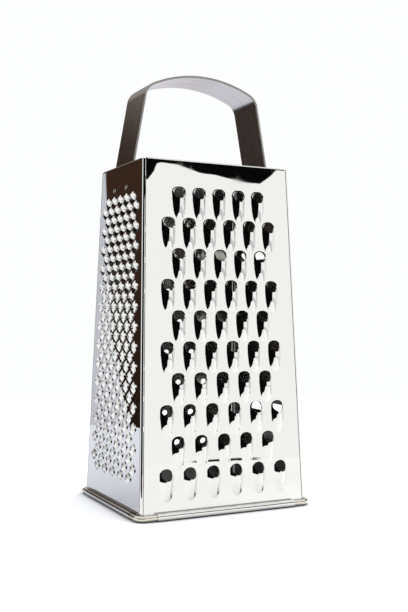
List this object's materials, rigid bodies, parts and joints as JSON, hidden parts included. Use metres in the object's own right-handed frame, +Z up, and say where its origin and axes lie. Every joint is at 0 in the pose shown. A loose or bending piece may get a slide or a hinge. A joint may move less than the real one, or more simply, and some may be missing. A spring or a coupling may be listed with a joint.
{
  "type": "box grater",
  "caption": "Tapered four-sided box grater of thin stainless sheet on a base wire, with coarse, fine, medium and slicing sides and an arched strap handle.",
  "frame": {"origin": "on the floor under the middle of the base", "axes": "+Z up; the coarse side faces -Y, the fine side -X, the medium side +Y and the slicer side +X"},
  "size_m": [0.106, 0.0904, 0.24],
  "materials": {
    "polished_sheet": "mirror-polished stainless steel sheet",
    "wire": "bright drawn stainless steel wire",
    "brushed_strap": "stainless steel strap, brushed along its length",
    "weld_spots": "dull pressed weld spots"
  },
  "bodies": {
    "root": {"front_left_sheet": "polished_sheet", "back_right_sheet": "polished_sheet", "base_wire": "wire", "handle_strap": "brushed_strap", "left_foot_welds": "weld_spots", "right_foot_welds": "weld_spots", "right_seam_welds": "weld_spots", "back_seam_welds": "weld_spots"}
  },
  "joints": []
}
